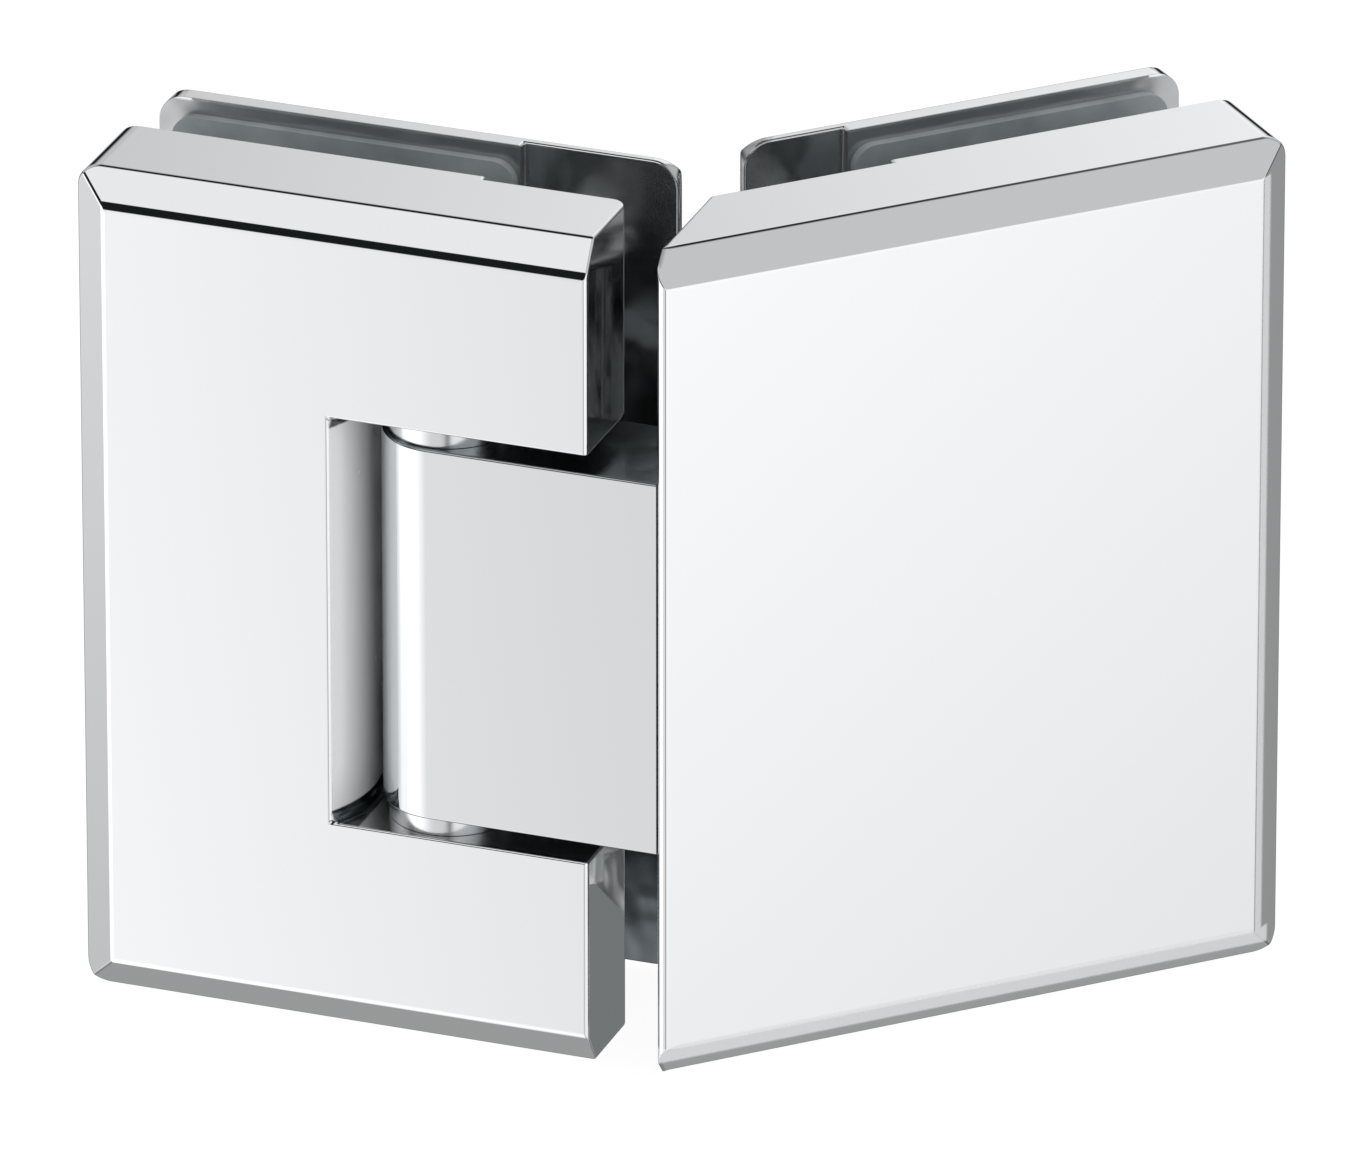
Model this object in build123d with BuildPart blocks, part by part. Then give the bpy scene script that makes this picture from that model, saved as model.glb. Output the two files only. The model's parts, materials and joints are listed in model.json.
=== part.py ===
from build123d import *
import os
from math import cos, radians, sin, tan

os.makedirs("parts", exist_ok=True)

# A glass door hinge that joins a door pane to a fixed pane at 135 degrees, in millimetres.
# The origin is on the pivot axis, level with the leaves' lower edges. X runs along the
# fixed leaf towards the door, Y runs to the back and Z is up.

# Sizes of both leaves
height = 90.0
leaf_turn = 45.0
plate_thickness = 12.0
pad_rise = 0.6
bevel_width = 3.5
bevel_depth = 2.2
corner_radius = 2.6
gasket_thickness = 1.0
glass_thickness = 8.0

# Back plates
back_thickness = 4.2
back_pad_rise = 1.0
back_inset = 0.7
back_side = 2.0
back_hinge_inset = 1.0
back_corner_radius = 2.8

# Clamp screws and their bosses
clamp_radius = 2.5
clamp_head_radius = 4.65
clamp_length = 12.0
clamp_socket = 3.0
clamp_socket_depth = 1.6
boss_radius = 4.6
boss_gap = 1.0
edge_screw_from_end = 12.0
edge_boss_gap = 0.4
notch_screw_from_pad = 20.0
notch_screw_offset = 14.0
edge_screw_offset = height / 2 - edge_screw_from_end

# Gaskets, notched like the glass
gasket_inset = 1.7
gasket_hinge_inset = 0.3
gasket_corner_radius = 2.4
notch_end_gap = 2.4
notch_side_gap = 5.4
notch_depth = notch_screw_from_pad + boss_radius + notch_end_gap
notch_height = 2 * (notch_screw_offset + boss_radius + notch_side_gap)

# Fixed leaf, measured from the pivot axis
axis_depth = 7.0
ear_reach = 17.2
yoke_pad_edge = 1.8
yoke_strip = 12.4
back_overhang = 1.0
ear_edge_radius = 0.6
ear_back_radius = 1.6
ear_corner_radius = 2.2
yoke_left = notch_depth + yoke_strip - yoke_pad_edge
yoke_edge_screw = yoke_pad_edge + boss_radius + edge_boss_gap

# Knuckle and its foot, which is let into the back of the door leaf's front plate
knuckle_height = 40.5
knuckle_reach = 24.4
barrel_radius = 6.8
foot_thickness = 5.5
foot_length = 27.0
foot_height = 34.0
foot_clearance = 0.05
foot_start_depth = plate_thickness - foot_thickness

# Cut-out in the fixed leaf, round the barrel
wall_gap = 1.6
wall_front_flare = 1.9
wall_back_flare = 1.0
wall_crown_depth = 6.4
collar_space = 1.95
wall_crown = barrel_radius + wall_gap
wall_front = wall_crown + wall_front_flare
wall_back = wall_crown + wall_back_flare
cutout_height = knuckle_height + 2 * collar_space

# Door leaf, measured along its own front face from the sharp edge of its hinge end
door_face_offset = 23.0
door_strip = 11.7
door_edge_radius = 0.8
door_pad_from_foot = 5.0
door_back_lap = 10.9
door_back_inset = 1.9
door_pad_edge = foot_length + door_pad_from_foot
door_width = door_pad_edge + notch_depth + door_strip
door_edge_screw = door_pad_edge - boss_radius - edge_boss_gap

# Pivot pin
pin_radius = 3.0
pin_cover = 7.0
pin_seat_clearance = 0.02
pin_end_gap = 1.0
running_clearance = 0.05
detent_flat_depth = 1.0
grub_flat_depth = 0.4
grub_flat_length = 5.0
grub_radius = 1.5
grub_socket = 1.5
grub_socket_depth = 1.2
grub_from_end = 13.0
pin_top = height - pin_cover
grub_offset = height / 2 - grub_from_end

# Bushes and collars on the pin
bush_wall = 1.05
bush_length = 9.5
bush_fit = 0.01
middle_bore_clearance = 0.3
collar_radius = 6.2
collar_clearance = 0.05
bush_outer_radius = pin_radius + running_clearance + bush_wall

# Detents
detent_spacing = 11.0
detent_bore_radius = 3.0
detent_flat_margin = 0.5
plunger_clearance = 0.05
plunger_length = 6.0
plunger_nose = 0.8
plug_length = 5.0
plug_inset = 0.4
plug_socket = 3.0
plug_socket_depth = 2.5
spring_wire = 0.8
spring_pitch = 1.8
spring_side_clearance = 0.4
spring_clearance = 0.05
spring_radius = detent_bore_radius - spring_wire / 2 - spring_side_clearance
detent_flat_length = detent_spacing + 2 * (detent_bore_radius + detent_flat_margin)

# Screws of the knuckle's foot
foot_screw_radius = 2.0
foot_screw_head_radius = 3.75
foot_screw_socket = 2.5
foot_screw_socket_depth = 1.2
foot_screw_cover = 2.0
foot_screw_from_end = 7.0
foot_screw_margin = 1.75
foot_screw_length = plate_thickness - foot_screw_cover
foot_screw_along = foot_length - foot_screw_from_end
foot_screw_spacing = foot_height / 2 - foot_screw_head_radius - foot_screw_margin

# Clearances of screws in their holes
screw_clearance = 0.25
thread_clearance = 0.02
head_clearance = 0.05
countersink_angle = 90.0
hole_run_out = 1.0

# Levels through the thickness, measured back from a leaf's front face
pad_depth = plate_thickness + pad_rise
glass_front = pad_depth + gasket_thickness
glass_back = glass_front + glass_thickness
back_pad_depth = glass_back + gasket_thickness
back_thin_depth = back_pad_depth + back_pad_rise
back_outer_depth = back_pad_depth + back_thickness
back_bevel_at = back_pad_depth + back_side

# Heights
middle = height / 2
cutout_bottom = middle - cutout_height / 2
cutout_top = middle + cutout_height / 2
knuckle_bottom = middle - knuckle_height / 2
knuckle_top = middle + knuckle_height / 2
side_levels = {"lower": -1, "upper": 1}

# Leaf planes: local x runs along the leaf, local y runs to the back, local z is up
turn = radians(leaf_turn)
door_edge_y = (knuckle_reach * sin(turn) - door_face_offset) / cos(turn)
yoke_plan = Plane(origin=(0, -axis_depth, 0), x_dir=(1, 0, 0), z_dir=(0, 0, 1))
door_plan = Plane(origin=(knuckle_reach, door_edge_y, 0), x_dir=(cos(turn), sin(turn), 0), z_dir=(0, 0, 1))

# Span of each back plate along its leaf
yoke_back_span = (-yoke_left + back_inset, ear_reach + back_overhang)
door_back_span = (door_pad_edge - door_back_lap, door_width - door_back_inset)


def level(plan, depth):
    """The upright plane at a depth behind a leaf's front face, facing the front."""
    return Plane(origin=plan.from_local_coords((0, depth, 0)), x_dir=plan.x_dir, z_dir=-plan.y_dir)


def point_on(plan, along, depth, rise):
    """A point given along a leaf, behind its front face and above its lower edge."""
    return plan.from_local_coords((along, depth, rise))


def keep(piece, name):
    """Label a finished piece and write it."""
    piece.part.label = name
    export_step(piece.part, f"parts/{name}.step")


def bevelled_block(plan, span, rise, outer, bevel_at, inner, insets, radius, round_left, round_right):
    """A plate whose outer face is bevelled, with rounded upright corners."""
    left, right = span
    bottom, top = rise
    inset_left, inset_right, inset_level = insets
    with BuildPart() as block:
        with BuildSketch(level(plan, outer)):
            with Locations((left + inset_left, bottom + inset_level)):
                Rectangle(
                    right - left - inset_left - inset_right,
                    top - bottom - 2 * inset_level,
                    align=(Align.MIN, Align.MIN),
                )
        with BuildSketch(level(plan, bevel_at)):
            with Locations((left, bottom)):
                Rectangle(right - left, top - bottom, align=(Align.MIN, Align.MIN))
        loft()
        with BuildSketch(level(plan, bevel_at)):
            with Locations((left, bottom)):
                Rectangle(right - left, top - bottom, align=(Align.MIN, Align.MIN))
        extrude(amount=bevel_at - inner)
        with BuildSketch(level(plan, inner)) as outline:
            with Locations((left, bottom)):
                Rectangle(right - left, top - bottom, align=(Align.MIN, Align.MIN))
            rounded = []
            if round_left:
                rounded += outline.vertices().group_by(Axis.X)[0]
            if round_right:
                rounded += outline.vertices().group_by(Axis.X)[-1]
            fillet(rounded, radius)
        extrude(amount=inner - outer, mode=Mode.INTERSECT)
    return block.part


def boss_places(edge_along, pad_edge, direction):
    """Clamp screw places on a leaf: beside the glass edge and in the notch of the glass."""
    notch_along = pad_edge + direction * notch_screw_from_pad
    return {
        "edge": (edge_along, edge_screw_offset, back_thin_depth - boss_gap),
        "notch": (notch_along, notch_screw_offset, back_pad_depth - boss_gap),
    }


yoke_bosses = boss_places(yoke_edge_screw, yoke_pad_edge, -1)
door_bosses = boss_places(door_edge_screw, door_pad_edge, 1)


def boss_centres(places):
    """Each clamp screw's place along the leaf and its height, with the depth of its boss's end."""
    centres = []
    for along, offset, end_depth in places.values():
        for side in side_levels.values():
            centres.append((along, middle + side * offset, end_depth))
    return centres


# Fixed leaf's front plate
with BuildPart() as yoke_front_plate:
    add(
        bevelled_block(
            yoke_plan,
            (-yoke_left, ear_reach),
            (0, height),
            0,
            bevel_depth,
            pad_depth,
            (bevel_width, 0, bevel_width),
            corner_radius,
            True,
            False,
        )
    )
    with BuildSketch(yoke_plan) as plan_outline:
        with BuildLine():
            Polyline(
                (-yoke_left, 0),
                (ear_reach, 0),
                (ear_reach, plate_thickness),
                (yoke_pad_edge, plate_thickness),
                (yoke_pad_edge, pad_depth),
                (-yoke_left, pad_depth),
                close=True,
            )
        make_face()
        ear_corners = plan_outline.vertices().group_by(Axis.X)[-1].sort_by(Axis.Y)
        fillet(ear_corners[0], ear_edge_radius)
        fillet(plan_outline.vertices().sort_by_distance((ear_reach, plate_thickness))[0], ear_back_radius)
    extrude(amount=height, mode=Mode.INTERSECT)
    with BuildSketch(yoke_plan.offset(cutout_bottom)):
        with BuildLine():
            ThreePointArc((-wall_front, 0), (-wall_crown, wall_crown_depth), (-wall_back, pad_depth))
            Polyline(
                (-wall_back, pad_depth),
                (-wall_back, pad_depth + hole_run_out),
                (ear_reach + hole_run_out, pad_depth + hole_run_out),
                (ear_reach + hole_run_out, -hole_run_out),
                (-wall_front, -hole_run_out),
                (-wall_front, 0),
            )
        make_face()
    extrude(amount=cutout_height, mode=Mode.SUBTRACT)
    for side in side_levels.values():
        corner_rise = middle + side * (cutout_height / 2 + ear_corner_radius)
        corner_depth = plate_thickness - ear_corner_radius
        with BuildSketch(Plane(origin=(yoke_pad_edge, 0, 0), x_dir=(0, 1, 0), z_dir=(1, 0, 0))):
            with Locations((corner_depth - axis_depth, corner_rise)):
                Rectangle(
                    ear_corner_radius,
                    ear_corner_radius,
                    align=(Align.MIN, Align.MAX if side > 0 else Align.MIN),
                )
                Circle(ear_corner_radius, mode=Mode.SUBTRACT)
        extrude(amount=ear_reach - yoke_pad_edge, mode=Mode.SUBTRACT)
    for along, rise, end_depth in boss_centres(yoke_bosses):
        with BuildSketch(level(yoke_plan, plate_thickness - pad_rise)):
            with Locations((along, rise)):
                Circle(boss_radius)
        extrude(amount=plate_thickness - pad_rise - end_depth)
        with BuildSketch(level(yoke_plan, end_depth)):
            with Locations((along, rise)):
                Circle(clamp_radius + thread_clearance)
        extrude(
            amount=end_depth - (back_outer_depth - clamp_length - hole_run_out),
            mode=Mode.SUBTRACT,
        )
    with BuildSketch(Plane.XY):
        Circle(pin_radius + pin_seat_clearance)
    extrude(amount=pin_top + pin_end_gap, mode=Mode.SUBTRACT)
    for side in side_levels.values():
        with BuildSketch(level(yoke_plan, pad_depth)):
            with Locations((0, middle + side * grub_offset)):
                Circle(grub_radius + thread_clearance)
        extrude(amount=pad_depth - axis_depth, mode=Mode.SUBTRACT)
keep(yoke_front_plate, "yoke_front_plate")

# Foot of the knuckle, in plan on the door leaf
foot_outline = [
    (foot_start_depth * tan(turn), foot_start_depth),
    (foot_length, foot_start_depth),
    (foot_length, plate_thickness),
    (plate_thickness * tan(turn), plate_thickness),
]

# Door leaf's front plate
with BuildPart() as door_front_plate:
    add(
        bevelled_block(
            door_plan,
            (0, door_width),
            (0, height),
            0,
            bevel_depth,
            pad_depth,
            (0, bevel_width, bevel_width),
            corner_radius,
            False,
            True,
        )
    )
    with BuildSketch(door_plan) as plan_outline:
        with BuildLine():
            Polyline(
                (0, 0),
                (door_width, 0),
                (door_width, pad_depth),
                (door_pad_edge, pad_depth),
                (door_pad_edge, plate_thickness),
                (plate_thickness * tan(turn), plate_thickness),
                close=True,
            )
        make_face()
        fillet(plan_outline.vertices().sort_by_distance((0, 0))[0], door_edge_radius)
    extrude(amount=height, mode=Mode.INTERSECT)
    with BuildSketch(door_plan.offset(middle - foot_height / 2 - foot_clearance)):
        with BuildLine():
            Polyline(
                (0, foot_start_depth),
                (foot_length + foot_clearance, foot_start_depth),
                (foot_length + foot_clearance, pad_depth),
                (0, pad_depth),
                close=True,
            )
        make_face()
    extrude(amount=foot_height + 2 * foot_clearance, mode=Mode.SUBTRACT)
    for step in (-1, 0, 1):
        with BuildSketch(level(door_plan, foot_start_depth)):
            with Locations((foot_screw_along, middle + step * foot_screw_spacing)):
                Circle(foot_screw_radius + thread_clearance)
        extrude(
            amount=foot_start_depth - (plate_thickness - foot_screw_length) + thread_clearance,
            mode=Mode.SUBTRACT,
        )
    for along, rise, end_depth in boss_centres(door_bosses):
        with BuildSketch(level(door_plan, plate_thickness - pad_rise)):
            with Locations((along, rise)):
                Circle(boss_radius)
        extrude(amount=plate_thickness - pad_rise - end_depth)
        with BuildSketch(level(door_plan, end_depth)):
            with Locations((along, rise)):
                Circle(clamp_radius + thread_clearance)
        extrude(
            amount=end_depth - (back_outer_depth - clamp_length - hole_run_out),
            mode=Mode.SUBTRACT,
        )
keep(door_front_plate, "door_front_plate")


def make_back_plate(plan, span, pad_edge, hinge_on_right, centres, name):
    """A back plate, thicker where it presses on the glass, with countersunk clamp holes."""
    if hinge_on_right:
        insets = (bevel_width, back_hinge_inset, bevel_width)
        pad_end, thin_end = span
    else:
        insets = (back_hinge_inset, bevel_width, bevel_width)
        thin_end, pad_end = span
    with BuildPart() as back_plate:
        add(
            bevelled_block(
                plan,
                span,
                (back_inset, height - back_inset),
                back_outer_depth,
                back_bevel_at,
                back_pad_depth,
                insets,
                back_corner_radius,
                True,
                True,
            )
        )
        with BuildSketch(plan):
            with BuildLine():
                Polyline(
                    (pad_end, back_pad_depth),
                    (pad_edge, back_pad_depth),
                    (pad_edge, back_thin_depth),
                    (thin_end, back_thin_depth),
                    (thin_end, back_outer_depth),
                    (pad_end, back_outer_depth),
                    close=True,
                )
            make_face()
        extrude(amount=height, mode=Mode.INTERSECT)
        for along, rise, _ in centres:
            seat = point_on(plan, along, back_outer_depth, rise)
            with Locations(Plane(origin=seat, x_dir=(0, 0, 1), z_dir=plan.y_dir)):
                CounterSinkHole(
                    radius=clamp_radius + screw_clearance,
                    counter_sink_radius=clamp_head_radius + head_clearance,
                    counter_sink_angle=countersink_angle,
                )
    keep(back_plate, name)


make_back_plate(
    yoke_plan,
    yoke_back_span,
    yoke_pad_edge,
    True,
    boss_centres(yoke_bosses),
    "yoke_back_plate",
)
make_back_plate(
    door_plan,
    door_back_span,
    door_pad_edge,
    False,
    boss_centres(door_bosses),
    "door_back_plate",
)


def make_gasket(plan, back_span, pad_edge, direction, depth, name):
    """A clear sheet between a plate's pad and the glass, notched like the glass."""
    hinge_edge = pad_edge + direction * gasket_hinge_inset
    outer_edge = back_span[0] if direction < 0 else back_span[1]
    far_edge = outer_edge - direction * gasket_inset
    bottom = back_inset + gasket_inset
    notch_start = hinge_edge - direction * hole_run_out
    notch_end = pad_edge + direction * notch_depth
    with BuildPart() as gasket:
        with BuildSketch(level(plan, depth + gasket_thickness)) as sheet:
            with Locations(((hinge_edge + far_edge) / 2, middle)):
                Rectangle(abs(far_edge - hinge_edge), height - 2 * bottom)
            fillet(sheet.vertices(), gasket_corner_radius)
            with Locations(((notch_start + notch_end) / 2, middle)):
                Rectangle(abs(notch_end - notch_start), notch_height, mode=Mode.SUBTRACT)
        extrude(amount=gasket_thickness)
    keep(gasket, name)


for leaf, plan, back_span, pad_edge, direction in (
    ("yoke", yoke_plan, yoke_back_span, yoke_pad_edge, -1),
    ("door", door_plan, door_back_span, door_pad_edge, 1),
):
    make_gasket(plan, back_span, pad_edge, direction, pad_depth, f"{leaf}_front_gasket")
    make_gasket(plan, back_span, pad_edge, direction, glass_back, f"{leaf}_back_gasket")


def make_countersunk_screw(seat, outward, radius, head_radius, length, socket, socket_depth, name):
    """A countersunk screw with a hexagon socket; seat is the middle of its head's top."""
    top = Plane(origin=seat, x_dir=(0, 0, 1), z_dir=outward)
    with BuildPart() as screw:
        with BuildSketch(top.offset(-length)):
            Circle(radius)
        extrude(amount=length)
        with BuildSketch(top):
            Circle(head_radius)
        with BuildSketch(top.offset(radius - head_radius)):
            Circle(radius)
        loft()
        with BuildSketch(top):
            RegularPolygon(radius=socket / 2, side_count=6, major_radius=False)
        extrude(amount=-socket_depth, mode=Mode.SUBTRACT)
    keep(screw, name)


for leaf, plan, places in (("yoke", yoke_plan, yoke_bosses), ("door", door_plan, door_bosses)):
    for place, (along, offset, _) in places.items():
        for side_name, side in side_levels.items():
            make_countersunk_screw(
                point_on(plan, along, back_outer_depth, middle + side * offset),
                plan.y_dir,
                clamp_radius,
                clamp_head_radius,
                clamp_length,
                clamp_socket,
                clamp_socket_depth,
                f"{leaf}_screw_{place}_{side_name}",
            )

# Pivot pin: flats face the plungers with the door shut and with it open at 90 degrees
with BuildPart() as pivot_pin:
    with BuildSketch(Plane.XY):
        Circle(pin_radius)
    extrude(amount=pin_top)
    flat_level = pin_radius - detent_flat_depth
    with BuildSketch(Plane.XY.offset(middle - detent_flat_length / 2)):
        with Locations((flat_level, -pin_radius)):
            Rectangle(pin_radius, 2 * pin_radius, align=(Align.MIN, Align.MIN))
        with Locations((-pin_radius, -flat_level)):
            Rectangle(2 * pin_radius, pin_radius, align=(Align.MIN, Align.MAX))
    extrude(amount=detent_flat_length, mode=Mode.SUBTRACT)
    for side in side_levels.values():
        with BuildSketch(Plane.XY.offset(middle + side * grub_offset - grub_flat_length / 2)):
            with Locations((-pin_radius, pin_radius - grub_flat_depth)):
                Rectangle(2 * pin_radius, pin_radius, align=(Align.MIN, Align.MIN))
        extrude(amount=grub_flat_length, mode=Mode.SUBTRACT)
keep(pivot_pin, "pivot_pin")

for side_name, side in side_levels.items():
    # Grub screw that holds the pin in one ear
    grub_end = axis_depth + pin_radius - grub_flat_depth
    with BuildPart() as pin_grub_screw:
        with BuildSketch(level(yoke_plan, grub_end)):
            with Locations((0, middle + side * grub_offset)):
                Circle(grub_radius)
        extrude(amount=grub_end - pad_depth)
        with BuildSketch(level(yoke_plan, pad_depth)):
            with Locations((0, middle + side * grub_offset)):
                RegularPolygon(radius=grub_socket / 2, side_count=6, major_radius=False)
        extrude(amount=grub_socket_depth, mode=Mode.SUBTRACT)
    keep(pin_grub_screw, f"pin_grub_screw_{side_name}")

    # Collar in the gap between knuckle and ear
    collar_height = (cutout_height - knuckle_height) / 2 - 2 * collar_clearance
    collar_middle = middle + side * (cutout_height + knuckle_height) / 4
    with BuildPart() as collar:
        with BuildSketch(Plane.XY.offset(collar_middle - collar_height / 2)):
            Circle(collar_radius)
            Circle(pin_radius + running_clearance, mode=Mode.SUBTRACT)
        extrude(amount=collar_height)
    keep(collar, f"collar_{side_name}")

    # Plain bearing pressed into one end of the barrel
    bush_middle = middle + side * (knuckle_height - bush_length) / 2
    with BuildPart() as bush:
        with BuildSketch(Plane.XY.offset(bush_middle - bush_length / 2)):
            Circle(bush_outer_radius)
            Circle(pin_radius + running_clearance, mode=Mode.SUBTRACT)
        extrude(amount=bush_length)
    keep(bush, f"bush_{side_name}")

# Knuckle: barrel round the pin, tongue to the door plate, foot let into the plate's back
with BuildPart() as knuckle:
    with BuildSketch(Plane.XY.offset(knuckle_bottom)):
        Circle(barrel_radius)
        Rectangle(knuckle_reach, 2 * barrel_radius, align=(Align.MIN, Align.CENTER))
    extrude(amount=knuckle_height)
    with BuildSketch(door_plan.offset(middle - foot_height / 2)):
        with BuildLine():
            Polyline(*foot_outline, close=True)
        make_face()
    extrude(amount=foot_height)
    with BuildSketch(Plane.XY.offset(knuckle_bottom)):
        Circle(pin_radius + middle_bore_clearance)
    extrude(amount=knuckle_height, mode=Mode.SUBTRACT)
    for start in (knuckle_bottom, knuckle_top - bush_length):
        with BuildSketch(Plane.XY.offset(start)):
            Circle(bush_outer_radius + bush_fit)
        extrude(amount=bush_length, mode=Mode.SUBTRACT)
    for side in side_levels.values():
        rise = middle + side * detent_spacing / 2
        with BuildSketch(Plane(origin=(0, 0, rise), x_dir=(0, 1, 0), z_dir=(1, 0, 0))):
            Circle(detent_bore_radius + thread_clearance)
        extrude(amount=knuckle_reach + foot_length, mode=Mode.SUBTRACT)
    for step in (-1, 0, 1):
        seat = point_on(door_plan, foot_screw_along, plate_thickness, middle + step * foot_screw_spacing)
        with Locations(Plane(origin=seat, x_dir=(0, 0, 1), z_dir=door_plan.y_dir)):
            CounterSinkHole(
                radius=foot_screw_radius + screw_clearance,
                counter_sink_radius=foot_screw_head_radius + head_clearance,
                counter_sink_angle=countersink_angle,
            )
keep(knuckle, "knuckle")

for step, step_name in ((-1, "lower"), (0, "middle"), (1, "upper")):
    make_countersunk_screw(
        point_on(door_plan, foot_screw_along, plate_thickness, middle + step * foot_screw_spacing),
        door_plan.y_dir,
        foot_screw_radius,
        foot_screw_head_radius,
        foot_screw_length,
        foot_screw_socket,
        foot_screw_socket_depth,
        f"knuckle_screw_{step_name}",
    )

# Detents: a plunger, its spring and its plug lie in each bore of the tongue
plunger_start = pin_radius + running_clearance
plunger_end = plunger_start + plunger_length
plug_end = knuckle_reach - plug_inset
plug_start = plug_end - plug_length
spring_start = plunger_end + spring_clearance
spring_end = plug_start - spring_clearance
for side_name, side in side_levels.items():
    bore_start = Plane(origin=(0, 0, middle + side * detent_spacing / 2), x_dir=(0, 1, 0), z_dir=(1, 0, 0))

    with BuildPart() as detent_plunger:
        with BuildSketch(bore_start.offset(plunger_start)):
            Circle(detent_bore_radius - plunger_clearance)
        extrude(amount=plunger_length)
        chamfer(detent_plunger.edges().group_by(Axis.X)[0], plunger_nose)
    keep(detent_plunger, f"detent_plunger_{side_name}")

    coil_height = spring_end - spring_start - spring_wire
    coil_start = bore_start.offset(spring_start + spring_wire / 2)
    with BuildPart() as detent_spring:
        with BuildLine() as coil:
            Helix(
                pitch=spring_pitch,
                height=coil_height,
                radius=spring_radius,
                center=coil_start.origin,
                direction=coil_start.z_dir,
            )
        with BuildSketch(Plane(origin=coil.line @ 0, z_dir=coil.line % 0)):
            Circle(spring_wire / 2)
        sweep(path=coil.line, is_frenet=True)
    keep(detent_spring, f"detent_spring_{side_name}")

    with BuildPart() as spring_plug:
        with BuildSketch(bore_start.offset(plug_start)):
            Circle(detent_bore_radius)
        extrude(amount=plug_length)
        with BuildSketch(bore_start.offset(plug_end)):
            RegularPolygon(radius=plug_socket / 2, side_count=6, major_radius=False)
        extrude(amount=-plug_socket_depth, mode=Mode.SUBTRACT)
    keep(spring_plug, f"spring_plug_{side_name}")
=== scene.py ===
# %% [markdown]
# A glass door hinge in polished chrome, seen from its outer side. The solids of the hinge come from
# the CAD model as a fixed frame. This script dresses them: it gives the plates the small rounded
# edges that a polishing wheel leaves, gives every piece its finish, and sets up a white studio whose
# soft boxes and dark gaps are what the chrome shows.

# %% Load the frame
import json
import math

import bmesh
import bpy
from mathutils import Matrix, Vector

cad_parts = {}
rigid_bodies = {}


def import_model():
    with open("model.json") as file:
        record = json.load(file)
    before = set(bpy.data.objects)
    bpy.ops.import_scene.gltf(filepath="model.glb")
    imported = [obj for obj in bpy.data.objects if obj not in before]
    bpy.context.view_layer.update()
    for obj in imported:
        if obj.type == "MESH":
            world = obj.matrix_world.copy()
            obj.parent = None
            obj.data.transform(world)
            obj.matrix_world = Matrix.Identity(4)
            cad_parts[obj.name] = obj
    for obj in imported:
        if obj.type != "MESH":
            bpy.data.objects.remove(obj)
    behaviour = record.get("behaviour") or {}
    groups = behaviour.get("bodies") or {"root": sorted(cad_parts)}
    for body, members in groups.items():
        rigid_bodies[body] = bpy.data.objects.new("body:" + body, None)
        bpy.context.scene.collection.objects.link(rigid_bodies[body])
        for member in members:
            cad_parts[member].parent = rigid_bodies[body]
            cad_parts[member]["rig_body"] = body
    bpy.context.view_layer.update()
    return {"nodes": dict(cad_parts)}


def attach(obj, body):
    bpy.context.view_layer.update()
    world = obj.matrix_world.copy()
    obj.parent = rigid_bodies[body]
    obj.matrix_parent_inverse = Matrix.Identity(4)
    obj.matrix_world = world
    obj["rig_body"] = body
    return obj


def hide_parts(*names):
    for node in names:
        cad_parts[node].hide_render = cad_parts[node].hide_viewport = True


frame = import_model()
nodes = frame["nodes"]
MM = 0.001

# %% [markdown]
# The photograph was taken with a long lens from the front, turned 20 degrees to the right of the
# hinge and looking down 25 degrees. The camera stands two metres away, and its lens is set so that
# the hinge fills the frame as it does in the photograph. The Standard view keeps white as white.

# %% Camera
CAMERA_PLACE = Vector((658.6, -1724.3, 891.2)) * MM
CAMERA_TARGET = Vector((24.38, -0.57, 52.25)) * MM
SENSOR = 36.0
LENS = 540.4

camera_data = bpy.data.cameras.new("camera")
camera_data.sensor_fit = "HORIZONTAL"
camera_data.sensor_width = SENSOR
camera_data.lens = LENS
camera_data.clip_end = 100.0
camera = bpy.data.objects.new("camera", camera_data)
camera.location = CAMERA_PLACE
camera.rotation_euler = (CAMERA_TARGET - CAMERA_PLACE).to_track_quat("-Z", "Y").to_euler()
bpy.context.scene.collection.objects.link(camera)
bpy.context.scene.camera = camera
bpy.context.scene.view_settings.view_transform = "Standard"
print("camera at", tuple(round(v, 3) for v in CAMERA_PLACE))

# %% [markdown]
# Materials and the sky are node trees. One small function adds a node, sets it and links it, and
# another turns the hex colours that a colour picker gives into the linear numbers that light uses.

# %% Helpers for node trees
def linear(hex_colour):
    """An sRGB hex colour as linear RGBA."""
    channels = [int(hex_colour[i : i + 2], 16) / 255 for i in (1, 3, 5)]
    return [c / 12.92 if c <= 0.04045 else ((c + 0.055) / 1.055) ** 2.4 for c in channels] + [1.0]


def add_node(tree, kind, settings=None, links=None):
    """Adds a node, sets its properties and socket values, and links its inputs."""
    node = tree.nodes.new(kind)
    for key, value in (settings or {}).items():
        if isinstance(key, int) or key in node.inputs:
            node.inputs[key].default_value = value
        else:
            setattr(node, key, value)
    for key, source in (links or {}).items():
        tree.links.new(source, node.inputs[key])
    return node


def new_material(name):
    """An empty node material."""
    material = bpy.data.materials.new(name)
    material.use_nodes = True
    material.node_tree.nodes.clear()
    return material, material.node_tree


def math_node(tree, operation, a, b=0.0, c=0.0):
    """A Math node of values and sockets, and its result."""
    settings, links = {"operation": operation}, {}
    for index, value in enumerate((a, b, c)):
        if isinstance(value, (int, float)):
            settings[index] = float(value)
        else:
            links[index] = value
    return add_node(tree, "ShaderNodeMath", settings, links).outputs[0]


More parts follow.
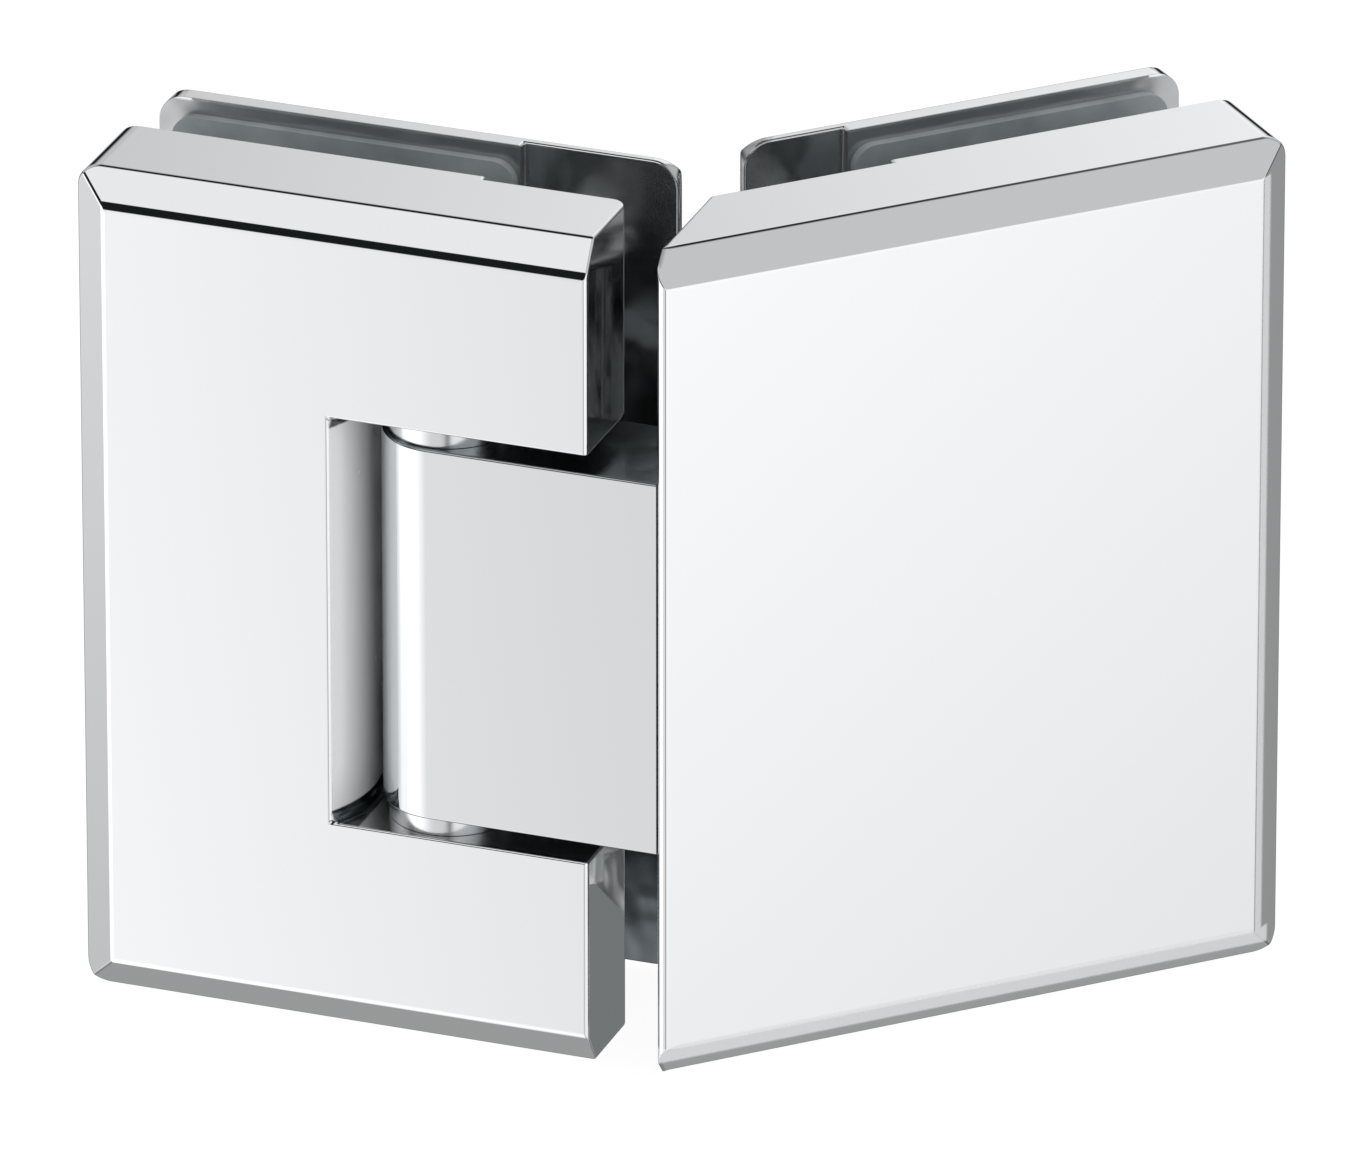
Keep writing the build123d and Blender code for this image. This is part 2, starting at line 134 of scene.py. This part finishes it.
# %% [markdown]
# The hinge is brass with a bright chrome plating about a thousandth of a millimetre thick. Chrome
# has almost no colour of its own, so it is a metal with a very light grey and a roughness near
# nothing, and everything it shows is the studio. Two small things keep it from looking like a
# computer's mirror. Buffing takes a little more off near the ends of a face than in its middle, so
# each face is crowned by about a degree and its reflections run from lighter to darker. The wheel
# also leaves a ripple far too shallow to feel. Both are heights in metres for the Bump node.
#
# Some places of the chrome are dull, and some of them are painted greyer as shade. A texture could
# mark such places, but a box is enough for a part this plain: six Map Range nodes make a mask that
# is one inside it, with a soft border. The mask makes the chrome satin, and matt as the place says,
# and paints it greyer, as shade, by the place's amount of painted shade. A second Bump node, after
# the first, makes the surface uneven there: its strength is that amount, so a box's border makes no
# step.

# %% Chrome plating
CROWN = 0.30  # height lost at a distance r from the middle of a leaf is CROWN * r * r, in metres
RIPPLE_LENGTH = 9 * MM
RIPPLE_HEIGHT = 0.0012 * MM
MIST_LENGTH = 4 * MM  # the haze that handling leaves, in patches
DULL_BORDER = 0.15 * MM
CAST_LENGTH = 5 * MM
CAST_HEIGHT = 0.9 * MM  # drawn far higher than it is, because only its slopes show
FIXED_MIDDLE = (-10.2, 10.6, 45.0)  # the middle of each leaf, half way through its glass
DOOR_MIDDLE = (36.4, 28.7, 45.0)
KNUCKLE_MIDDLE = (12.0, 0.0, 45.0)


def box_mask(tree, point, low, high):
    """One inside a box given in millimetres, nothing outside, with a soft border."""
    split = add_node(tree, "ShaderNodeSeparateXYZ", {}, {"Vector": point})
    mask = None
    for axis in range(3):
        for wall, sign in ((low[axis], 1), (high[axis], -1)):
            side = add_node(
                tree,
                "ShaderNodeMapRange",
                {
                    "interpolation_type": "SMOOTHSTEP",
                    "From Min": wall * MM - sign * DULL_BORDER,
                    "From Max": wall * MM + sign * DULL_BORDER,
                },
                {"Value": split.outputs[axis]},
            ).outputs["Result"]
            mask = side if mask is None else math_node(tree, "MULTIPLY", mask, side)
    return mask


def make_chrome(
    name,
    colour,
    middle,
    turn,
    painted_shade_colour,
    dull_and_shaded_places,
    satin_roughness,
    crown=CROWN,
    haze=0.03,
    cast_height=CAST_HEIGHT,
):
    """Bright chrome, crowned round the middle of a leaf that is turned about the upright axis.

    A dull place is the frame its box is given in, the box's corners, how grey it is painted as shade,
    and how matt.
    """
    material, tree = new_material(name)
    place = add_node(tree, "ShaderNodeTexCoord").outputs["Object"]
    shifted = add_node(
        tree,
        "ShaderNodeVectorMath",
        {"operation": "SUBTRACT", 1: tuple(v * MM for v in middle)},
        {0: place},
    ).outputs["Vector"]
    leaf = add_node(
        tree,
        "ShaderNodeVectorRotate",
        {"rotation_type": "Z_AXIS", "Angle": math.radians(-turn)},
        {"Vector": shifted},
    ).outputs["Vector"]
    split = add_node(tree, "ShaderNodeSeparateXYZ", {}, {"Vector": leaf})
    along, upright = split.outputs["X"], split.outputs["Z"]
    square = math_node(
        tree,
        "ADD",
        math_node(tree, "MULTIPLY", along, along),
        math_node(tree, "MULTIPLY", upright, upright),
    )
    ripple = add_node(
        tree, "ShaderNodeTexNoise", {"Scale": 1 / RIPPLE_LENGTH, "Detail": 0.0}, {"Vector": place}
    ).outputs["Fac"]
    height = math_node(
        tree, "MULTIPLY_ADD", square, -crown, math_node(tree, "MULTIPLY", ripple, RIPPLE_HEIGHT)
    )
    bump = add_node(tree, "ShaderNodeBump", {"Strength": 1.0, "Distance": 1.0}, {"Height": height})
    mist = add_node(
        tree, "ShaderNodeTexNoise", {"Scale": 1 / MIST_LENGTH, "Detail": 3.0}, {"Vector": place}
    ).outputs["Fac"]
    dull = grey = metal = None
    for by, low, high, painted_shade_amount, mattness in dull_and_shaded_places:
        mask = box_mask(tree, leaf if by == "leaf" else place, low, high)
        # How grey a place is painted, as shade, and so how much darker its chrome is tinted.
        shade_tone = math_node(tree, "MULTIPLY", mask, painted_shade_amount)
        shine = math_node(tree, "MULTIPLY_ADD", mask, -mattness, 1.0)
        dull = mask if dull is None else math_node(tree, "MAXIMUM", dull, mask)
        grey = shade_tone if grey is None else math_node(tree, "MAXIMUM", grey, shade_tone)
        metal = shine if metal is None else math_node(tree, "MINIMUM", metal, shine)
    casting = add_node(
        tree, "ShaderNodeTexNoise", {"Scale": 1 / CAST_LENGTH, "Detail": 1.0}, {"Vector": place}
    ).outputs["Fac"]
    uneven = add_node(
        tree,
        "ShaderNodeBump",
        {"Distance": 1.0},
        {
            "Strength": grey,
            "Height": math_node(tree, "MULTIPLY", casting, cast_height),
            "Normal": bump.outputs["Normal"],
        },
    )
    bright = math_node(tree, "MULTIPLY_ADD", mist, haze, haze * 0.6)
    satin = math_node(tree, "MULTIPLY_ADD", mist, 0.1, satin_roughness)
    finish = add_node(
        tree, "ShaderNodeMix", {"data_type": "FLOAT"}, {"Factor": dull, "A": bright, "B": satin}
    )
    # The tint runs from the chrome's own colour to the painted shade colour.
    tint = add_node(tree, "ShaderNodeValToRGB", {}, {"Fac": grey})
    tint.color_ramp.elements[0].color = linear(colour)
    tint.color_ramp.elements[1].color = linear(painted_shade_colour)
    shader = add_node(
        tree,
        "ShaderNodeBsdfPrincipled",
        links={
            "Base Color": tint.outputs["Color"],
            "Metallic": metal,
            "Normal": uneven.outputs["Normal"],
            "Roughness": finish.outputs["Result"],
        },
    )
    add_node(tree, "ShaderNodeOutputMaterial", {}, {"Surface": shader.outputs["BSDF"]})
    return material


# %% [markdown]
# Between the plates, behind the gap at the hinge, in the cut-out and most of all in its two corners,
# at the door plate's hinge end and round the back, the top and the foot of the barrel, the chrome is
# satin and painted greyer: this grey is painted shade, for the shade that falls in these gaps and
# hollows. The wall of the cut-out is blasted matt, and the wheel left a matt band along the upper
# part of the door plate's lower and outer slopes. Each place is the frame of its box, the box's low
# and high corners in millimetres, how grey it is painted as shade and how matt. Each leaf has its
# own chrome, because the crown follows the leaf.

# %% Dull places, painted shade and the four chromes
CHROME = "#eff0f1"
# The grey painted into the leaves' chrome as shade: between the plates, behind the gap at the hinge,
# in the cut-out and its corners, and at the door plate's hinge end.
PAINTED_SHADE_GREY = "#5f6568"
# The knuckle's chrome is painted darker than the leaves' chrome, as shade, because its tongue lies in
# the recess of the cut-out.
KNUCKLE_CHROME_PAINTED_DARKER = "#dddfe1"
# The grey painted into the knuckle's chrome as shade round the back, the top and the foot of the
# barrel, and into the collars' bores.
KNUCKLE_PAINTED_SHADE = "#a7adb0"
KNUCKLE_CAST_HEIGHT = 0.12 * MM
PIVOT_MIDDLE = (0.0, 0.0, 45.0)
# The fourth number of a place is how grey it is painted, as shade; the fifth is how matt it is.
BETWEEN_PLATES = ("leaf", (-60, -5.75, -50), (60, 6.1, 44.0), 0.5, 0.0)
BEHIND_GAP = ("world", (11.0, 8.0, -5.0), (40.0, 17.0, 42.0), 1.0, 0.0)
CUT_OUT = ("world", (-8.1, -6.6, 22.4), (17.0, 6.0, 67.6), 0.12, 0.0)
WALL = ("world", (-13.0, -6.8, 24.0), (-8.1, 6.0, 66.0), 0.0, 0.85)
UPPER_CORNER = ("world", (-13.0, -6.8, 66.0), (-7.3, 6.0, 67.6), 1.0, 0.0)
LOWER_CORNER = ("world", (-13.0, -6.8, 22.4), (-7.3, 6.0, 24.0), 1.0, 0.0)
HINGE_END = ("world", (15.0, -6.2, -5.0), (24.7, 40.0, 95.0), 0.4, 0.0)
LOWER_SLOPE = ("leaf", (-40.0, -18.5, -46.0), (40.0, -16.3, -41.5), 0.0, 0.6)
OUTER_SLOPE = ("leaf", (32.7, -18.5, -46.0), (40.0, -16.9, 41.6), 0.0, 0.6)
BARREL_BACK = ("world", (-8.0, -4.6, 20.0), (-2.0, 8.0, 70.0), 0.4, 0.0)
KNUCKLE_TOP = ("world", (-8.0, -8.0, 65.1), (40.0, 20.0, 70.0), 1.0, 0.0)
KNUCKLE_BOTTOM = ("world", (-8.0, -8.0, 20.0), (40.0, 20.0, 24.9), 1.0, 0.0)
COLLAR_BORE = ("world", (-4.2, -4.2, 20.0), (4.2, 4.2, 70.0), 1.0, 0.0)
fixed_chrome = make_chrome(
    "bright_chrome_fixed_leaf",
    CHROME,
    FIXED_MIDDLE,
    0,
    PAINTED_SHADE_GREY,
    [BETWEEN_PLATES, BEHIND_GAP, CUT_OUT, WALL, UPPER_CORNER, LOWER_CORNER],
    0.2,
)
door_chrome = make_chrome(
    "bright_chrome_door_leaf",
    CHROME,
    DOOR_MIDDLE,
    45,
    PAINTED_SHADE_GREY,
    [BETWEEN_PLATES, HINGE_END, LOWER_SLOPE, OUTER_SLOPE],
    0.2,
)
knuckle_shaded_chrome = make_chrome(
    "shade_darkened_chrome_knuckle",
    KNUCKLE_CHROME_PAINTED_DARKER,
    KNUCKLE_MIDDLE,
    0,
    KNUCKLE_PAINTED_SHADE,
    [BARREL_BACK, KNUCKLE_TOP, KNUCKLE_BOTTOM],
    0.16,
    cast_height=KNUCKLE_CAST_HEIGHT,
)
collar_chrome = make_chrome(
    "turned_chrome_collar",
    "#e4e6e8",
    PIVOT_MIDDLE,
    0,
    KNUCKLE_PAINTED_SHADE,
    [COLLAR_BORE],
    0.28,
    crown=0.0,
    haze=0.2,
    cast_height=0.0,
)
for chrome in (fixed_chrome, door_chrome, knuckle_shaded_chrome, collar_chrome):
    print(chrome.name, "nodes", len(chrome.node_tree.nodes))

# %% [markdown]
# The gaskets are soft clear PVC sheet, smoky where it lies against dark metal and paler along its
# cut edges. The sheet lets light through, so the shader mixes transmission with a grey body colour,
# and a slow noise gives the cloudiness that pressed PVC has.

# %% Gasket PVC
def make_gasket(name):
    """Clear PVC sheet with a slow cloud in its colour and a fine grain."""
    material, tree = new_material(name)
    place = add_node(tree, "ShaderNodeTexCoord").outputs["Object"]
    cloud = add_node(
        tree, "ShaderNodeTexNoise", {"Scale": 1 / (7 * MM), "Detail": 3.0}, {"Vector": place}
    ).outputs["Fac"]
    body = add_node(tree, "ShaderNodeValToRGB", {}, {"Fac": cloud})
    body.color_ramp.elements[0].position = 0.3
    body.color_ramp.elements[0].color = linear("#a3acaf")
    body.color_ramp.elements[1].position = 0.7
    body.color_ramp.elements[1].color = linear("#c3cacd")
    grain = add_node(
        tree, "ShaderNodeTexNoise", {"Scale": 1 / (0.8 * MM), "Detail": 2.0}, {"Vector": place}
    ).outputs["Fac"]
    bump = add_node(
        tree,
        "ShaderNodeBump",
        {"Strength": 1.0, "Distance": 1.0},
        {"Height": math_node(tree, "MULTIPLY", grain, 0.004 * MM)},
    )
    shader = add_node(
        tree,
        "ShaderNodeBsdfPrincipled",
        {"Roughness": 0.22, "IOR": 1.53, "Transmission Weight": 0.35},
        {"Base Color": body.outputs["Color"], "Normal": bump.outputs["Normal"]},
    )
    add_node(tree, "ShaderNodeOutputMaterial", {}, {"Surface": shader.outputs["BSDF"]})
    return material


gasket = make_gasket("clear_pvc_gasket")
print(gasket.name, "nodes", len(gasket.node_tree.nodes))

# %% [markdown]
# The screws, the pin and the springs are steel. Screws are tumbled bright, the pin is ground, which
# leaves fine rings round it, and spring wire is drawn and oiled, so it is darker. One function makes
# the three from a colour, a roughness and the spacing of the tool's marks.

# %% Steels
def make_steel(name, colour, worn_colour, roughness, mark_length, mark_height):
    """Steel whose tool marks lie across its upright axis and are a little darker than the rest."""
    material, tree = new_material(name)
    place = add_node(tree, "ShaderNodeTexCoord").outputs["Object"]
    stretched = add_node(
        tree, "ShaderNodeMapping", {"Scale": (1.0, 1.0, 4.0)}, {"Vector": place}
    ).outputs["Vector"]
    marks = add_node(
        tree, "ShaderNodeTexNoise", {"Scale": 1 / mark_length, "Detail": 2.0}, {"Vector": stretched}
    ).outputs["Fac"]
    tint = add_node(tree, "ShaderNodeValToRGB", {}, {"Fac": marks})
    tint.color_ramp.elements[0].position = 0.35
    tint.color_ramp.elements[0].color = linear(worn_colour)
    tint.color_ramp.elements[1].position = 0.65
    tint.color_ramp.elements[1].color = linear(colour)
    bump = add_node(
        tree,
        "ShaderNodeBump",
        {"Strength": 1.0, "Distance": 1.0},
        {"Height": math_node(tree, "MULTIPLY", marks, mark_height)},
    )
    shader = add_node(
        tree,
        "ShaderNodeBsdfPrincipled",
        {"Metallic": 1.0},
        {
            "Base Color": tint.outputs["Color"],
            "Roughness": math_node(tree, "MULTIPLY_ADD", marks, 0.1, roughness - 0.05),
            "Normal": bump.outputs["Normal"],
        },
    )
    add_node(tree, "ShaderNodeOutputMaterial", {}, {"Surface": shader.outputs["BSDF"]})
    return material


screw_steel = make_steel("stainless_screw_steel", "#d2d2cf", "#bdbdba", 0.2, 0.7 * MM, 0.003 * MM)
pin_steel = make_steel("ground_pin_steel", "#cfd0d0", "#b9baba", 0.14, 0.4 * MM, 0.002 * MM)
spring_steel = make_steel("drawn_spring_steel", "#9b9c9c", "#77797a", 0.3, 0.3 * MM, 0.004 * MM)
print("steels:", screw_steel.name, pin_steel.name, spring_steel.name)

# %% [markdown]
# The two bushes are turned from white acetal, a waxy plastic. Light goes a little way into it, so
# it has a touch of subsurface scattering, and the turning tool leaves rings 0.3 mm apart.

# %% Acetal
TURNING_PITCH = 0.3 * MM
acetal, tree = new_material("turned_acetal")
place = add_node(tree, "ShaderNodeTexCoord").outputs["Object"]
rings = add_node(
    tree,
    "ShaderNodeTexWave",
    {
        "wave_type": "BANDS",
        "bands_direction": "Z",
        "Scale": math.pi / (20 * TURNING_PITCH),
        "Distortion": 0.4,
    },
    {"Vector": place},
).outputs["Fac"]
shade = add_node(tree, "ShaderNodeValToRGB", {}, {"Fac": rings})
shade.color_ramp.elements[0].color = linear("#dedcd6")
shade.color_ramp.elements[1].color = linear("#ebe9e4")
bump = add_node(
    tree,
    "ShaderNodeBump",
    {"Strength": 1.0, "Distance": 1.0},
    {"Height": math_node(tree, "MULTIPLY", rings, 0.004 * MM)},
)
shader = add_node(
    tree,
    "ShaderNodeBsdfPrincipled",
    {"Roughness": 0.38, "IOR": 1.48, "Subsurface Weight": 0.15, "Subsurface Scale": 1.0 * MM},
    {"Base Color": shade.outputs["Color"], "Normal": bump.outputs["Normal"]},
)
add_node(tree, "ShaderNodeOutputMaterial", {}, {"Surface": shader.outputs["BSDF"]})
print(acetal.name, "rings", TURNING_PITCH / MM, "mm apart")

# %% [markdown]
# Every CAD node takes the finish of the real piece by its name.

# %% Finishes of the nodes
def finish_of(name):
    """The material of a node, from its name."""
    if "gasket" in name:
        return gasket
    if name.startswith("collar"):
        return collar_chrome
    if name.startswith("bush"):
        return acetal
    if name == "knuckle":
        return knuckle_shaded_chrome
    if name.endswith("plate"):
        return fixed_chrome if name.startswith("yoke") else door_chrome
    if name.startswith("detent_spring"):
        return spring_steel
    if name == "pivot_pin" or name.startswith("detent_plunger"):
        return pin_steel
    return screw_steel


for name, node in nodes.items():
    node.data.materials.clear()
    node.data.materials.append(finish_of(name))
print("finishes:", sorted({finish_of(name).name for name in nodes}))

# %% [markdown]
# The CAD plates have knife-sharp edges, and a sharp edge shows no highlight. On the real plates
# each edge is rolled over by polishing, and that narrow round shows the whole studio as a thin
# black and white line. The two front plates, the two back plates and the knuckle are therefore
# copied, their loose triangles are merged into flat faces, and a Bevel modifier rounds their edges.
#
# A weight on each edge says how wide its round is. The long edge under the fixed plate's top slope
# is rolled wide, and that makes the black band of the photograph. The two inner corners of the
# cut-out are filled widest, as a milling cutter leaves them. An edge that nobody sees still gets a
# round of a twentieth of a millimetre, because a sharp edge that ends on a round one leaves a
# corner whose normal is wrong. The Weighted Normal modifier keeps the flat faces flat.

# %% Rounded edges
MERGE = 0.002 * MM  # corners closer than this are one corner
TINY = 0.001 * MM
FLAT = math.radians(0.5)  # triangles that turn less than this are one face
EDGE_TURN = math.radians(20)  # an edge that turns less belongs to a curved face
WIDEST = 1.1 * MM
BAND_ROUND = 0.7 * MM
COMMON_ROUND = 0.28 * MM
LOWER_ROUND = 0.42 * MM
HIDDEN_ROUND = 0.05 * MM


def polished_copy(name, round_of, prepare=None):
    """A copy of a CAD piece with its triangles merged and its edges rounded by its own widths."""
    source = nodes[name]
    mesh = bpy.data.meshes.new(f"{name}_polished")
    copy = bmesh.new()
    copy.from_mesh(source.data)
    bmesh.ops.remove_doubles(copy, verts=copy.verts, dist=MERGE)
    bmesh.ops.dissolve_limit(
        copy,
        angle_limit=FLAT,
        verts=copy.verts,
        edges=copy.edges,
        delimit=set(),
    )
    if prepare:
        prepare(copy)
    weight = copy.edges.layers.float.new("bevel_weight_edge")
    rounded = 0
    for edge in copy.edges:
        if edge.calc_face_angle(0.0) > EDGE_TURN:
            edge[weight] = round_of([vert.co / MM for vert in edge.verts]) / WIDEST
            rounded += 1
    for face in copy.faces:
        face.smooth = True
    copy.to_mesh(mesh)
    copy.free()
    mesh.materials.append(finish_of(name))
    piece = bpy.data.objects.new(f"{name}_polished", mesh)
    bpy.context.scene.collection.objects.link(piece)
    rounding = piece.modifiers.new("rounded edges", "BEVEL")
    rounding.width = WIDEST
    rounding.segments = 4
    rounding.limit_method = "WEIGHT"
    rounding.use_clamp_overlap = False
    rounding.loop_slide = False
    flatness = piece.modifiers.new("flat faces", "WEIGHTED_NORMAL")
    flatness.mode = "FACE_AREA"
    flatness.weight = 100
    flatness.keep_sharp = True
    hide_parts(name)
    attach(piece, source["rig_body"])
    print(name, "faces", len(mesh.polygons), "rounded edges", rounded)


# %% [markdown]
# Two places need care before they are rounded. The CAD model has a fine round of its own on the
# front corner of each ear, too fine for a second round, so its points are gathered into one sharp
# corner first. And the door plate ends in a thin tip at the hinge, where a wide round would cut
# through, so its faces are cut across twice there, and its rounds grow narrower between the cuts.
# The numbers are places in the CAD model, in millimetres.

# %% Widths of the rounds
NEAR = 0.02
LEVEL_MIDDLE = 45.0
TOP_PART, FOOT_PART = 80.0, 10.0  # heights that part a leaf's upper and lower edges from the rest
SLOPE_TOP, SLOPE_FOOT = 86.5, 3.5  # where the front faces end
FRONT = -7.0
PLATE_BACK = 5.1  # all that lies further back on a front plate is hidden
PAD_FACE = 15.7  # just behind the pad that presses on the glass
FOOT_FACE = 24.3  # where the knuckle goes into the door plate
CUT_OUT_HALF = 22.2
WALL_EDGE = -8.0  # the cut-out's wall lies beyond this
EAR_END = 17.2
EAR_FILLET = 0.61  # a little more than the fine round of 0.6
PIN_SEAT = 3.4  # a radius that takes in the hole of the pin
EAR_CORNER = 0.5 * MM
TIP_ROUND = 0.12 * MM
TIP_ALONG = 14.5
TIP_TAPER = 1.5
DOOR_SHIFT = 16.0  # seen square, the door leaf lies this far in front of the pivot


def sharpen_ear(copy):
    """Gathers the model's own fine round on the ear's front corner into one sharp edge."""
    for vert in copy.verts:
        x, y, z = vert.co / MM
        if x > EAR_END - EAR_FILLET and y < FRONT + EAR_FILLET:
            level = SLOPE_TOP if z > TOP_PART else SLOPE_FOOT if z < FOOT_PART else z
            vert.co = Vector((EAR_END, FRONT, level)) * MM
    bmesh.ops.remove_doubles(copy, verts=copy.verts, dist=MERGE)
    bmesh.ops.dissolve_degenerate(copy, edges=copy.edges, dist=TINY)


def split_tip(copy):
    """Cuts the door plate's faces twice near its hinge end, where its rounds grow narrower."""
    for along in (TIP_ALONG, TIP_ALONG + TIP_TAPER):
        bmesh.ops.bisect_plane(
            copy,
            geom=list(copy.verts) + list(copy.edges) + list(copy.faces),
            dist=TINY,
            plane_co=Vector((along, along, 0.0)) * MM * math.sqrt(0.5),
            plane_no=Vector((1.0, 1.0, 0.0)).normalized(),
        )


def leaf_depth(end, turned):
    """How far back a point lies, seen square to its own leaf."""
    return (end.y - end.x) * math.sqrt(0.5) + DOOR_SHIFT if turned else end.y


def front_round(turned):
    """The widths of the rounds on a front plate, least at its hidden back and its pin seat."""

    def width(ends):
        depths = [leaf_depth(end, turned) for end in ends]
        if min(depths) > PLATE_BACK or min(end.xy.length for end in ends) < PIN_SEAT:
            return HIDDEN_ROUND
        if turned and max(end.x + end.y for end in ends) < TIP_ALONG / math.sqrt(0.5) + NEAR:
            return TIP_ROUND
        on_front = all(abs(depth - FRONT) < NEAR for depth in depths)
        if on_front and all(abs(end.x - EAR_END) < NEAR for end in ends):
            return EAR_CORNER
        level = abs(ends[0].z - ends[1].z) < NEAR
        if on_front and level and ends[0].z > TOP_PART and not turned:
            return BAND_ROUND
        in_corner = all(
            abs(abs(end.z - LEVEL_MIDDLE) - CUT_OUT_HALF) < NEAR and end.x < WALL_EDGE
            for end in ends
        )
        if in_corner and not turned:
            return COMMON_ROUND if on_front else WIDEST
        if on_front and level and ends[0].z < FOOT_PART:
            return LOWER_ROUND
        return COMMON_ROUND

    return width


def back_round(turned):
    """The widths of the rounds on a back plate, least round its pad's hidden side."""

    def width(ends):
        depths = [leaf_depth(end, turned) for end in ends]
        return HIDDEN_ROUND if max(depths) < PAD_FACE else COMMON_ROUND

    return width


def knuckle_round(ends):
    """The widths of the rounds on the knuckle, least on its foot, which the door plate hides."""
    return HIDDEN_ROUND if min(end.x for end in ends) > FOOT_FACE else COMMON_ROUND


polished_copy("yoke_front_plate", front_round(False), sharpen_ear)
polished_copy("door_front_plate", front_round(True), split_tip)
polished_copy("yoke_back_plate", back_round(False))
polished_copy("door_back_plate", back_round(True))
polished_copy("knuckle", knuckle_round)

# %% [markdown]
# The hinge stands on a light table, a sheet of white acrylic lit from below, as small chrome goods
# are photographed: no shadow falls on it and it runs into the white behind. The table is left out
# of reflections, so that the undersides show the soft boxes beneath it and not one flat white. It
# lies a hair under the hinge, because two faces in one plane show as stripes from below.

# %% Light table
TABLE_SIZE = 8.0
TABLE_LEVEL = -0.05 * MM
bpy.ops.mesh.primitive_plane_add(size=TABLE_SIZE, location=(0.0, 0.0, TABLE_LEVEL))
table = bpy.context.object
table.name = "light_table"
table_material, tree = new_material("lit_white_acrylic")
glow = add_node(tree, "ShaderNodeEmission", {"Color": linear("#ffffff"), "Strength": 0.94})
skin = add_node(tree, "ShaderNodeBsdfDiffuse", {"Color": linear("#5a5a5a")})
both = add_node(tree, "ShaderNodeAddShader", {}, {0: glow.outputs[0], 1: skin.outputs[0]})
add_node(tree, "ShaderNodeOutputMaterial", {}, {"Surface": both.outputs[0]})
table.data.materials.append(table_material)
table.visible_glossy = False
print("table at", TABLE_LEVEL / MM, "mm")

# %% [markdown]
# Chrome is lit by what it mirrors, so the studio is drawn as rectangles of light on the sky, each
# given by its borders in azimuth and elevation, how soft each border is, and its brightness at two
# places with an even change between them. Azimuth counts from the +X side towards +Y, and its seam
# is at -150 degrees, where no box is. Only glossy rays see the boxes: the camera and the soft
# materials see plain white.

# %% Studio
world = bpy.data.worlds.new("studio")
bpy.context.scene.world = world
world.use_nodes = True
sky = world.node_tree
sky.nodes.clear()
direction = add_node(sky, "ShaderNodeTexCoord").outputs["Generated"]
SEAM = 30.0
turned = add_node(
    sky,
    "ShaderNodeVectorRotate",
    {"rotation_type": "Z_AXIS", "Angle": math.radians(-SEAM)},
    {"Vector": direction},
).outputs["Vector"]
parts = add_node(sky, "ShaderNodeSeparateXYZ", {}, {"Vector": turned})
azimuth = math_node(
    sky,
    "ADD",
    math_node(
        sky, "DEGREES", math_node(sky, "ARCTAN2", parts.outputs["Y"], parts.outputs["X"])
    ),
    SEAM,
)
elevation = math_node(sky, "DEGREES", math_node(sky, "ARCSINE", parts.outputs["Z"]))


def ramp(value, start, end, low, high, smooth=False):
    """A value's change from low at start to high at end, and flat beyond them."""
    return add_node(
        sky,
        "ShaderNodeMapRange",
        {
            "interpolation_type": "SMOOTHSTEP" if smooth else "LINEAR",
            "From Min": start,
            "From Max": end,
            "To Min": low,
            "To Max": high,
        },
        {"Value": value},
    ).outputs["Result"]


def span(value, low, low_soft, high, high_soft):
    """One between two borders and nothing outside them."""
    rise = ramp(value, low - low_soft, low + low_soft, 0.0, 1.0, True)
    fall = ramp(value, high - high_soft, high + high_soft, 1.0, 0.0, True)
    return math_node(sky, "MULTIPLY", rise, fall)


def soft_box(across, upright, level, over_azimuth=None, over_elevation=None):
    """A rectangle of light: its borders, its level, and how the level changes over it."""
    light = math_node(sky, "MULTIPLY", span(azimuth, *across), span(elevation, *upright))
    light = math_node(sky, "MULTIPLY", light, level)
    if over_azimuth:
        light = math_node(sky, "MULTIPLY", light, ramp(azimuth, *over_azimuth))
    if over_elevation:
        light = math_node(sky, "MULTIPLY", light, ramp(elevation, *over_elevation))
    return light


EVERYWHERE = (-400, 1, 400, 1)
DARK_ROOM = 0.012
boxes = [
    soft_box((-170, 4, -76, 5), (-66, 14, -1, 1.5), 1.0, (-135, -105, 1.62, 0.8)),
    soft_box((-146, 4, -78, 6), (30, 1.5, 62, 8), 0.93),
    soft_box((-68, 3, 14, 9), (-66, 14, 14, 10), 1.0, (-24, -14, 1.05, 0.93), (-30, -20, 0.93, 1.07)),
    soft_box((-68, 3, 14, 9), (6, 8, 60, 20), 0.62),
    soft_box((160, 8, 220, 5), (-52, 10, -4, 8), 1.0, (185, 198, 1.0, 2.0), (-28, -21, 0.58, 0.8)),
    soft_box((26, 4, 86, 10), (-52, 10, -4, 8), 1.0, (46, 70, 0.33, 0.2)),
    soft_box((75, 8, 150, 10), (8, 6, 52, 10), 1.0, (107, 114, 0.98, 0.58)),
    soft_box((98, 4, 138, 8), (-40, 6, -10, 5), 0.75),
    soft_box((18, 8, 76, 10), (8, 6, 60, 10), 0.5),
    soft_box((150, 8, 204, 4), (8, 6, 60, 10), 0.55),
    soft_box(EVERYWHERE, (-120, 1, -58, 6), 0.36),
]
total = DARK_ROOM
for box in boxes:
    total = math_node(sky, "MAXIMUM", box, total)
path = add_node(sky, "ShaderNodeLightPath")
plain = add_node(sky, "ShaderNodeBackground", {"Color": (1, 1, 1, 1), "Strength": 1.0})
shade = add_node(sky, "ShaderNodeValToRGB", {}, {"Fac": total})
shade.color_ramp.elements[0].color = (0.80, 0.97, 1.0, 1.0)
shade.color_ramp.elements[1].position = 0.3
shade.color_ramp.elements[1].color = (1.0, 1.0, 1.0, 1.0)
studio = add_node(
    sky, "ShaderNodeBackground", {}, {"Color": shade.outputs["Color"], "Strength": total}
)
mix = add_node(
    sky,
    "ShaderNodeMixShader",
    {},
    {0: path.outputs["Is Glossy Ray"], 1: plain.outputs[0], 2: studio.outputs[0]},
)
add_node(sky, "ShaderNodeOutputWorld", {}, {"Surface": mix.outputs[0]})
print("soft boxes:", len(boxes))
